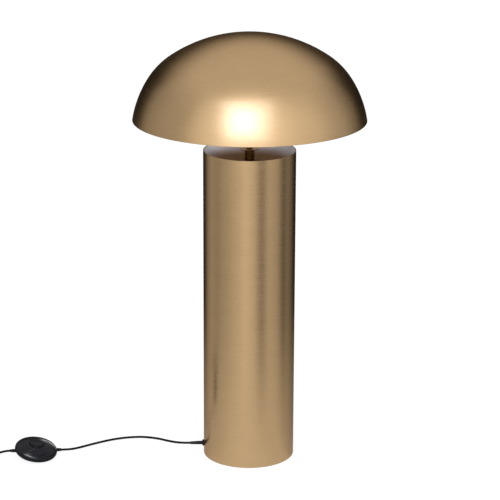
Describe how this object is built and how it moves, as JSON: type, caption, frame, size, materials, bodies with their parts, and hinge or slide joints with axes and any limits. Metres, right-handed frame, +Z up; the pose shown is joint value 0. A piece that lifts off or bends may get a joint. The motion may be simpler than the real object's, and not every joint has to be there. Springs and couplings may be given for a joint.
{
  "type": "mushroom floor lamp",
  "caption": "Brass floor lamp with a domed shade on an open round column, lead with a floor switch, coil and two-pin plug.",
  "frame": {"origin": "centre of the column's foot, on the floor", "axes": "+Z up along the column's axis; -Y is the front; the lead leaves the column on its -X side"},
  "size_m": [0.7086, 0.376, 0.7106],
  "materials": {
    "brushed_brass": "fine circumferential brushing under clear lacquer",
    "satin_brass": "spun and satin finished under clear lacquer",
    "dark_bronze": "bronzed, satin",
    "zinc_steel": "zinc plated",
    "cast_iron": "rough, black",
    "felt": "black wool felt",
    "black_pvc": "smooth, slightly glossy",
    "black_plastic": "moulded, glossy",
    "holder_plastic": "thermoplastic, satin",
    "ceramic": "white, matt",
    "contact_brass": "bright",
    "spring_steel": "drawn wire",
    "bulb_cap_metal": "nickel plated",
    "bulb_glass_insulator": "glossy black",
    "bulb_plastic": "white, satin",
    "opal_glass": "opal, satin",
    "circuit_board": "white lacquer",
    "pad_silicone": "translucent silicone",
    "core_wire": "insulated core"
  },
  "bodies": {
    "root": {"base_cover": "zinc_steel", "base_ring": "zinc_steel", "base_screws": "zinc_steel", "base_weight": "cast_iron", "bulkhead": "zinc_steel", "bush_nut": "black_plastic", "button_spring": "spring_steel", "carrier_pads": "pad_silicone", "centre_contact": "contact_brass", "clamp_ring": "holder_plastic", "coil_tie": "black_plastic", "collar_nut": "dark_bronze", "column_tube": "brushed_brass", "contact_base": "bulb_plastic", "cord_bush": "black_plastic", "cord_grip_lower": "black_plastic", "cord_grip_upper": "black_plastic", "felt_pad": "felt", "holder_cap": "holder_plastic", "holder_insert": "ceramic", "holder_sleeve": "holder_plastic", "holder_terminals": "contact_brass", "holder_wires": "core_wire", "inner_lead": "black_pvc", "lead_coil": "black_pvc", "lead_to_coil": "black_pvc", "lead_to_plug": "black_pvc", "lead_to_switch": "black_pvc", "lower_nut": "zinc_steel", "lower_washer": "zinc_steel", "pin_sleeves": "black_plastic", "plug_body": "black_plastic", "plug_pins": "zinc_steel", "plug_relief": "black_pvc", "shade_carrier": "dark_bronze", "socket_shell": "contact_brass", "stem_collar": "dark_bronze", "stem_tube": "dark_bronze", "switch_bottom_shell": "black_plastic", "switch_case_screws": "zinc_steel", "switch_lead_tails": "black_pvc", "switch_relief_lamp_side": "black_pvc", "switch_relief_plug_side": "black_pvc", "switch_terminals": "contact_brass", "switch_top_shell": "black_plastic", "terminal_screws": "contact_brass", "threaded_pipe": "zinc_steel"},
    "shade": {"shade_dome": "satin_brass"},
    "bulb_tip": {"bulb_tip": "contact_brass"},
    "bulb": {"bulb_insulator": "bulb_glass_insulator", "bulb_cap": "bulb_cap_metal", "bulb_housing": "bulb_plastic", "led_board": "circuit_board", "bulb_globe": "opal_glass"},
    "button": {"switch_button": "black_plastic"},
    "rotor": {"ratchet_rotor": "contact_brass"}
  },
  "joints": [
    {"name": "shade_lift", "type": "slide", "parent": "root", "child": "shade", "axis": [0, 0, 1], "range_m": [0, 0.13]},
    {"name": "bulb_advance", "type": "slide", "parent": "root", "child": "bulb_tip", "axis": [0, 0, 1], "range_m": [0, 0.0146]},
    {"name": "bulb_turn", "type": "hinge", "parent": "bulb_tip", "child": "bulb", "pos_m": [0, 0, 0.58], "axis": [0, 0, 1], "range_deg": [0, 1440]},
    {"name": "button_press", "type": "slide", "parent": "root", "child": "button", "axis": [-0.1564, 0.1564, -0.9752], "range_m": [0, 0.003], "stiffness_N_per_m": 800, "springref_m": -0.003, "deforming": ["button_spring"]},
    {"name": "rotor_turn", "type": "hinge", "parent": "root", "child": "rotor", "pos_m": [-0.35471, -0.02719, 0.01098], "axis": [0.1564, -0.1564, 0.9752], "range_deg": [0, 46]}
  ],
  "couplings": [
    {"joint": "bulb_advance", "follows": "bulb_turn", "m_per_rad": 0.0005775},
    {"joint": "rotor_turn", "follows": "button_press", "rad_per_m": 261.8}
  ]
}
